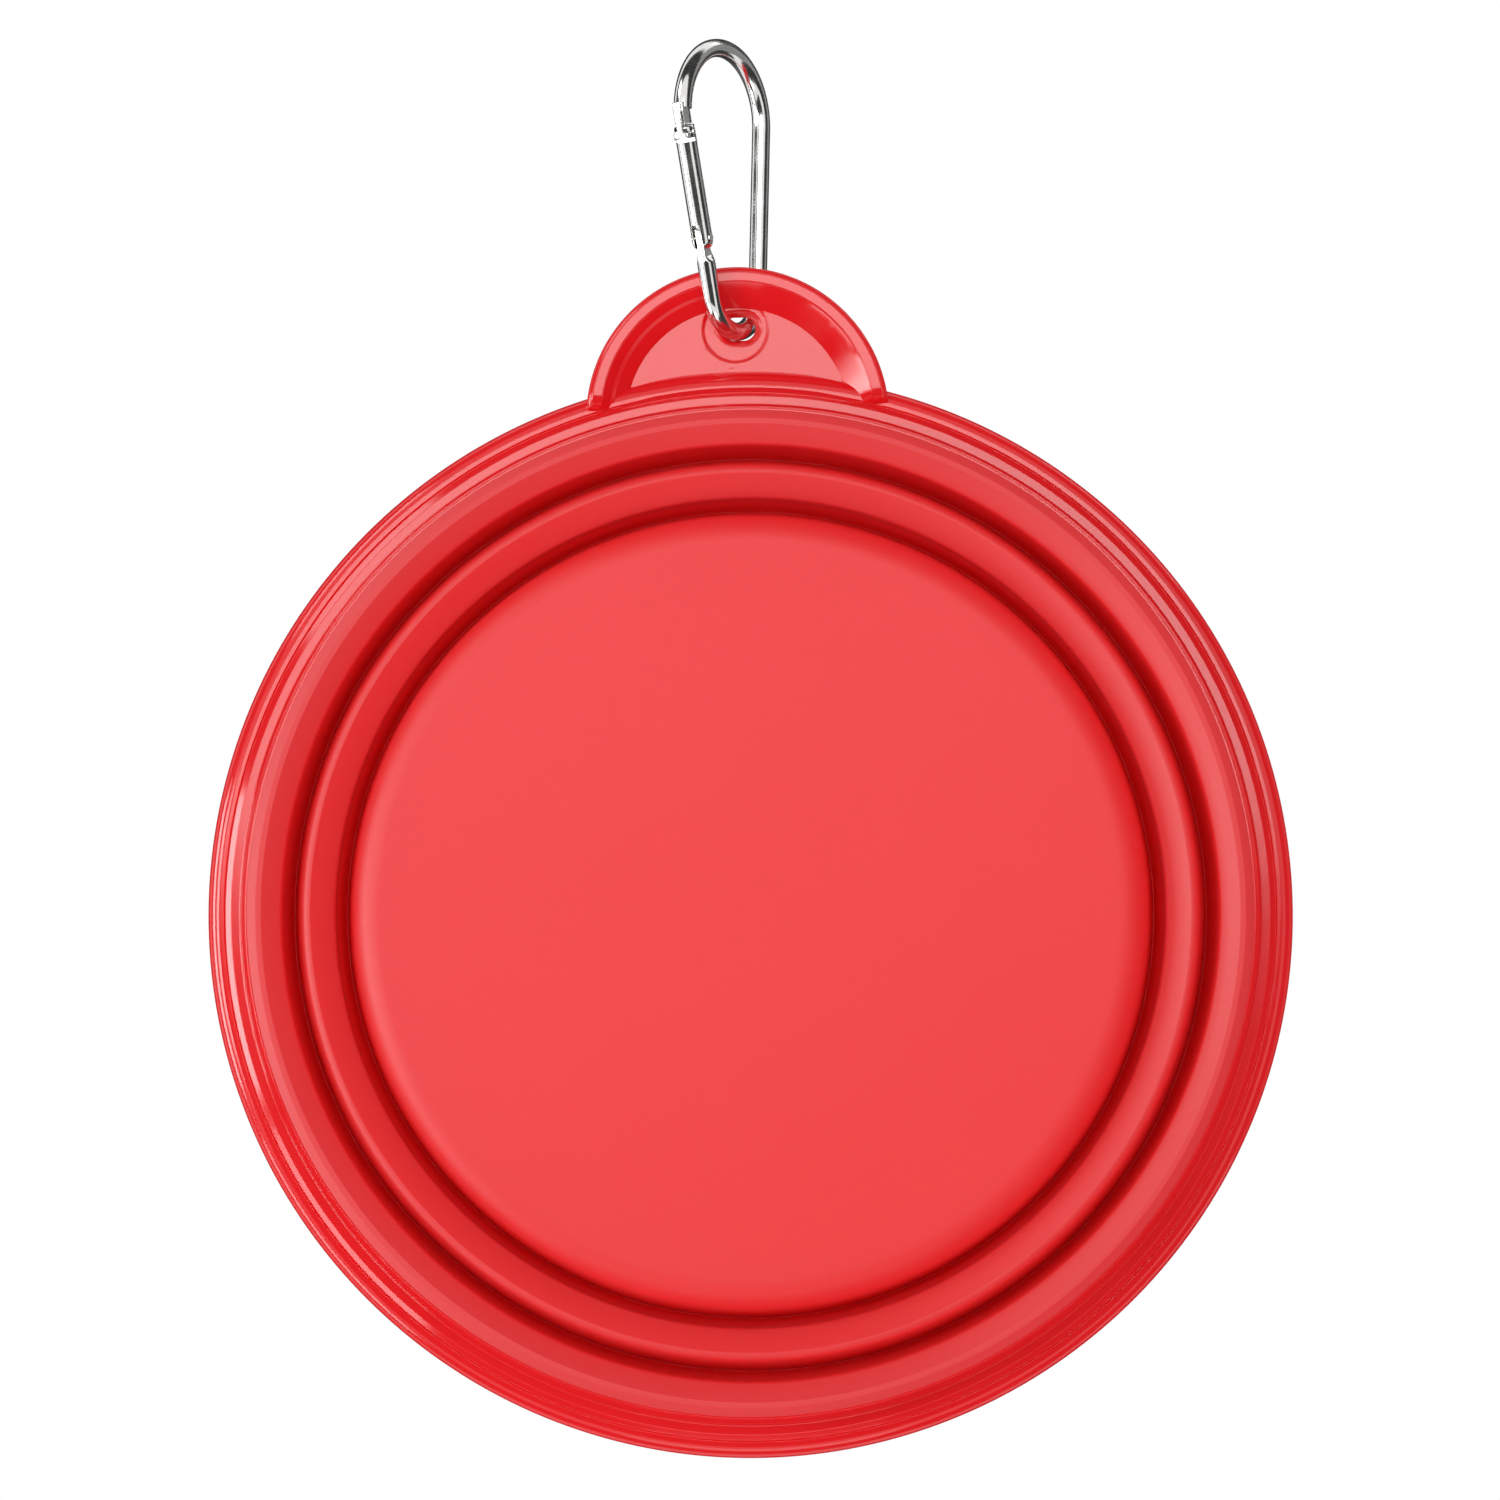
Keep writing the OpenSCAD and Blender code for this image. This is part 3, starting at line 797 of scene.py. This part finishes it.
def frame_path():
    """Wire's line from the hinge lug round the eye and the arch to the nose."""
    stub = LEG_FOOT + (HINGE_AT - LUG_NECK) * LEG_DIR
    nose = math.pi + FLARE - NOSE_OVER / ARCH_R
    eye = arc_path(Vector((0, 0, 0)), BEND_R, math.pi + FLARE, math.tau - FLARE)
    arch = arc_path(Vector((0, HOOK_SPAN, 0)), ARCH_R, -FLARE, nose)
    return [stub] + straight_path(stub, eye[0]) + eye + straight_path(eye[-1], arch[0]) + arch


wire = drawn("carabiner_wire", [hung @ p for p in frame_path()], WIRE_R, WIRE_SIDES)
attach(wire, "carabiner")
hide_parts("carabiner_frame")


# Hinge lug and nose: the two worked ends of the wire, the lug pressed flat between the gate's
# ears, the nose filed to a square neck with a flat tongue and a cross head.
LUG_SIDES = 40
WORKED_SHARP = math.radians(50)
LUG_SECTIONS = (
    (-LUG_NECK - 0.4, 1.08, 1.08, 2), (-LUG_NECK, 1.08, 1.04, 2.2),
    (-LUG_NECK + 0.3, 1.04, 0.86, 3), (-LUG_NECK + 0.6, 0.96, 0.66, 5),
    (-LUG_NECK + 0.9, 0.86, 0.53, 8), (-LUG_NECK + 1.3, 0.76, 0.5, 10),
    (-1.3, 0.7, 0.5, 12), (1.1, 0.7, 0.5, 12), (1.2, 0.62, 0.42, 12))
NOSE_L = GATE_L + NECK_L
NOSE_GAP = 0.15
NOSE_EDGE = 0.12
NECK_HALF = 0.75
NECK_SINK = 0.8
TONGUE_Y = (0.15, 1.05)
TONGUE_W = 0.9
TONGUE_LAP = 0.1
TONGUE_EDGE = 0.08
HEAD_W = 2.1
HEAD_H = 0.8
GATE_END = 0.65
HEAD_TOP = GATE_L - GATE_END - NOSE_GAP
HEAD_BOTTOM = HEAD_TOP - HEAD_H
BEVEL_STEPS = 3


def lofted(name, sections, place):
    """Nickel solid along +X through sections (x, half width, half thickness, squareness)."""
    points = []
    for x, half_w, half_t, square in sections:
        power = 2 / square
        for k in range(LUG_SIDES):
            a = math.tau * k / LUG_SIDES
            c, s = math.cos(a), math.sin(a)
            y = half_w * math.copysign(abs(c) ** power, c)
            z = half_t * math.copysign(abs(s) ** power, s)
            points.append(place @ Vector((x, y, z)))
    faces = capped_faces(len(sections), LUG_SIDES)
    return faced_out(mesh_piece(name, points, faces, nickel), WORKED_SHARP)


lug = lofted("hinge_lug", LUG_SECTIONS, at_hinge)
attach(lug, "carabiner")


def block(name, x, y, thick, bevel):
    """Bevelled nickel block in the gate's frame, between two x and two y values."""
    mesh = bpy.data.meshes.new(name)
    shape = bmesh.new()
    bmesh.ops.create_cube(shape, size=1)
    for v in shape.verts:
        v.co = Vector(((x[0] + x[1]) / 2 + v.co.x * (x[1] - x[0]),
                       (y[0] + y[1]) / 2 + v.co.y * (y[1] - y[0]), v.co.z * thick))
    bmesh.ops.bevel(shape, geom=shape.edges[:], offset=bevel, segments=BEVEL_STEPS,
                    profile=0.5, affect="EDGES")
    shape.transform(Matrix.Scale(MM, 4) @ at_hinge)
    shape.to_mesh(mesh)
    shape.free()
    mesh.materials.append(nickel)
    piece = bpy.data.objects.new(name, mesh)
    bpy.context.collection.objects.link(piece)
    return faced_out(piece, WORKED_SHARP)


for name, x, y, thick, bevel in (
        ("nose_neck", (GATE_L + NOSE_GAP, NOSE_L + NECK_SINK), (-NECK_HALF, NECK_HALF),
         2 * NECK_HALF, NOSE_EDGE),
        ("nose_tongue", (HEAD_BOTTOM + TONGUE_LAP, NOSE_L), TONGUE_Y, TONGUE_W, TONGUE_EDGE),
        ("nose_head", (HEAD_BOTTOM, HEAD_TOP), TONGUE_Y, HEAD_W, NOSE_EDGE)):
    piece = block(name, x, y, thick, bevel)
    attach(piece, "carabiner")


# Gate, hinge pin and plunger: turned and slotted steel pieces in the same bright plating. The
# gate's back runs on past the notch for the nose, up to the neck.
GATE_R = 1.26
BACK_Y = 0.03
BACK_SIDES = 48
NOTCH_BOTTOM = HEAD_BOTTOM - 0.85
NOTCH_TOP = HEAD_BOTTOM - 0.3
BACK_RINGS = ((NOTCH_BOTTOM, GATE_R), (NOTCH_TOP, GATE_R), (NOTCH_TOP, BACK_Y), (GATE_L, BACK_Y))
back_points = []
for x, top in BACK_RINGS:
    for k in range(BACK_SIDES):
        a = math.tau * k / BACK_SIDES
        y, z = min(top, GATE_R * math.cos(a)), GATE_R * math.sin(a)
        back_points.append(at_hinge @ Vector((x, y, z)))
back_faces = capped_faces(len(BACK_RINGS), BACK_SIDES)
gate_back = faced_out(mesh_piece("gate_back", back_points, back_faces, nickel), WORKED_SHARP)
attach(gate_back, "gate")

for name in ("gate", "hinge_pin", "gate_plunger"):
    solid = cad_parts[name]
    solid.data.materials.clear()
    solid.data.materials.append(nickel)


# Gate spring: hard steel wire wound at a steady pitch. It lies in the gate's bore behind the
# plunger and is pressed together a little as the gate opens.
SPRING_TURNS = 7
SPRING_STEPS = 24
SPRING_SIDES = 10
SPRING_WIRE = 0.28
SPRING_R = 0.56
SPRING_START = 3.41
SPRING_END = 10.06


def spring_path():
    """Wound line of the spring, in the gate's frame."""
    points = []
    for i in range(SPRING_TURNS * SPRING_STEPS + 1):
        turn = i / SPRING_STEPS
        x = SPRING_START + (SPRING_END - SPRING_START) * turn / SPRING_TURNS
        a = math.tau * turn
        points.append(Vector((x, SPRING_R * math.cos(a), SPRING_R * math.sin(a))))
    return points


coil = [at_hinge @ p for p in spring_path()]
spring = drawn("gate_spring_coil", coil, SPRING_WIRE / 2, SPRING_SIDES)
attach(spring, "gate")
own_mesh(spring)
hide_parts("gate_spring")


# Floor: a plain pale sheet under the bowl, seen from above only, because the main view is of the
# underside.
FLOOR_LIGHT = (0.84, 0.84, 0.84, 1)
FLOOR_SHADE = (0.8, 0.8, 0.8, 1)
FLOOR_ROUGH = 0.8
FLOOR_CLOUD = 3
FLOOR_HALF = 1000
FLOOR_Z = -0.05
QUAD = [(0, 1, 2, 3)]


def level_sheet(x, y, z):
    """Corners of a level rectangle between two x and two y values."""
    return [(x[0], y[0], z), (x[1], y[0], z), (x[1], y[1], z), (x[0], y[1], z)]


floor_finish, tree, shader, link = new_finish("pale_floor")
shader.inputs["Roughness"].default_value = FLOOR_ROUGH
link(mixed(tree, noise_factor(tree, FLOOR_CLOUD), FLOOR_SHADE, FLOOR_LIGHT),
     shader.inputs["Base Color"])
clear = node(tree, "ShaderNodeBsdfTransparent")
side = node(tree, "ShaderNodeNewGeometry")
pick = node(tree, "ShaderNodeMixShader")
link(side.outputs["Backfacing"], pick.inputs[0])
link(shader.outputs[0], pick.inputs[1])
link(clear.outputs[0], pick.inputs[2])
link(pick.outputs[0], tree.nodes["Material Output"].inputs["Surface"])
floor_span = (-FLOOR_HALF, FLOOR_HALF)
floor = mesh_piece("floor", level_sheet(floor_span, floor_span, FLOOR_Z), QUAD, floor_finish)
floor.visible_diffuse = False
floor.visible_glossy = False
floor.visible_transmission = False
floor.visible_shadow = False


# Studio light: a pale room with a soft box at the left of the main view, and one at its foot. Lamps
# that only gloss shows lay the sheen on rubber and plastic, and dark and grey cards that only gloss
# shows give the nickel its contrast. Two soft boxes above light the other side.
ROOM_LIGHT = 0.69
ROOM_SEEN = 1.0
CARD_ROUGH = 0.9
CARD_CLOUD = 5
CARD_MOTTLE = (0.8, 1.2)
DARK_SHADE = 0.025
GREY_SHADE = 0.3
CURTAIN_R = 950
CURTAIN_Z = (-650, 60)
CURTAIN_SIDES = 48

world = bpy.data.worlds.new("studio")
bpy.context.scene.world = world
world.use_nodes = True
tree = world.node_tree
link = tree.links.new
ray = node(tree, "ShaderNodeLightPath")
seen = ray.outputs["Is Camera Ray"]
for kind in ("Is Glossy Ray", "Is Transmission Ray"):
    either = node(tree, "ShaderNodeMath", operation="MAXIMUM")
    link(seen, either.inputs[0])
    link(ray.outputs[kind], either.inputs[1])
    seen = either.outputs[0]
level = node(tree, "ShaderNodeMapRange", in_3=ROOM_LIGHT, in_4=ROOM_SEEN)
link(seen, level.inputs[0])
back = tree.nodes["Background"]
back.inputs["Color"].default_value = (1, 1, 1, 1)
link(level.outputs[0], back.inputs["Strength"])


def soft_box(name, at, size, power, gloss_only=False, target=(0, 0, 0)):
    """Area lamp in metres and watts that faces a target and stays out of the picture."""
    lamp = bpy.data.lights.new(name, "AREA")
    lamp.shape = "RECTANGLE"
    lamp.size, lamp.size_y = size
    lamp.energy = power
    box = bpy.data.objects.new(name, lamp)
    box.location = at
    box.rotation_euler = (Vector(target) - Vector(at)).to_track_quat("-Z", "Y").to_euler()
    box.visible_camera = False
    box.visible_diffuse = not gloss_only
    bpy.context.collection.objects.link(box)


soft_box("key_box", (0.6, 0.03, -0.75), (0.3, 0.3), 1.4)
soft_box("key_shine", (0.61, 0.03, -0.76), (0.3, 0.3), 1.2, gloss_only=True)
soft_box("low_box", (0.86, 0, -0.28), (0.5, 0.3), 5, gloss_only=True)
soft_box("upper_corner", (0.58, 0.58, -0.38), (0.3, 0.3), 1.4, gloss_only=True)
soft_box("lower_corner", (0.68, -0.48, -0.28), (0.4, 0.3), 2, gloss_only=True)
soft_box("foot_box", (0, -0.75, -0.5), (0.4, 0.3), 0.6)
soft_box("panel", (0, 0.23, -1), (0.7, 0.36), 3.2, gloss_only=True, target=(0, 0.23, 0))
soft_box("top_box", (0.5, -0.4, 0.9), (0.8, 0.8), 4)
soft_box("top_fill", (-0.7, 0.5, 0.7), (0.8, 0.8), 2)


def card_finish(name, shade):
    """Matt card of one grey, a little mottled."""
    finish, tree, shader, link = new_finish(name)
    shader.inputs["Roughness"].default_value = CARD_ROUGH
    low, high = ((k * shade,) * 3 + (1,) for k in CARD_MOTTLE)
    link(mixed(tree, noise_factor(tree, CARD_CLOUD), low, high), shader.inputs["Base Color"])
    return finish


def card(name, points, faces, finish):
    """Card that only reflections see."""
    sheet = mesh_piece(name, points, faces, finish)
    sheet.visible_camera = False
    sheet.visible_diffuse = False
    sheet.visible_transmission = False
    sheet.visible_shadow = False


dark = card_finish("dark_card", DARK_SHADE)
grey = card_finish("grey_card", GREY_SHADE)
card("lens_card", level_sheet((-600, 600), (-600, 45), -1050), QUAD, dark)
card("back_card", level_sheet((-430, 430), (-390, 470), 250), QUAD, dark)
card("side_card", [(-800, -400, 62), (-800, 600, 62), (-800, 600, 560), (-800, -400, 560)],
     QUAD, grey)
curtain = []
for z in CURTAIN_Z:
    for k in range(CURTAIN_SIDES):
        a = math.tau * k / CURTAIN_SIDES
        curtain.append((CURTAIN_R * math.cos(a), CURTAIN_R * math.sin(a), z))
card("curtain", curtain, ring_faces(len(CURTAIN_Z), CURTAIN_SIDES), dark)


# Camera: looks at the underside nearly along the bowl's axis, with the tab up. It stands 900 mm
# off, tilted and rolled a little, and its field is 180 mm wide.
FIELD = 180
DISTANCE = 900
PLANE_Z = 10.7
TILT = math.radians(1.8)
ROLL = math.radians(1.5)
AIM = Vector((-0.44, 19.67, PLANE_Z))
eye = Vector((0, -DISTANCE * math.sin(TILT), PLANE_Z - DISTANCE * math.cos(TILT)))
ahead = (AIM - eye).normalized()
right = ahead.cross(Vector((0, 1, 0))).normalized()
turn = Matrix((right, right.cross(ahead), -ahead)).transposed().to_4x4()
lens = bpy.data.cameras.new("camera")
lens.sensor_width = 36
lens.lens = lens.sensor_width * (AIM - eye).length / FIELD
lens.clip_start = 0.01
lens.clip_end = 20
camera = bpy.data.objects.new("camera", lens)
camera.matrix_world = Matrix.Translation(eye * MM) @ turn @ Matrix.Rotation(-ROLL, 4, "Z")
bpy.context.collection.objects.link(camera)
bpy.context.scene.camera = camera
bpy.context.scene.view_settings.view_transform = "Standard"
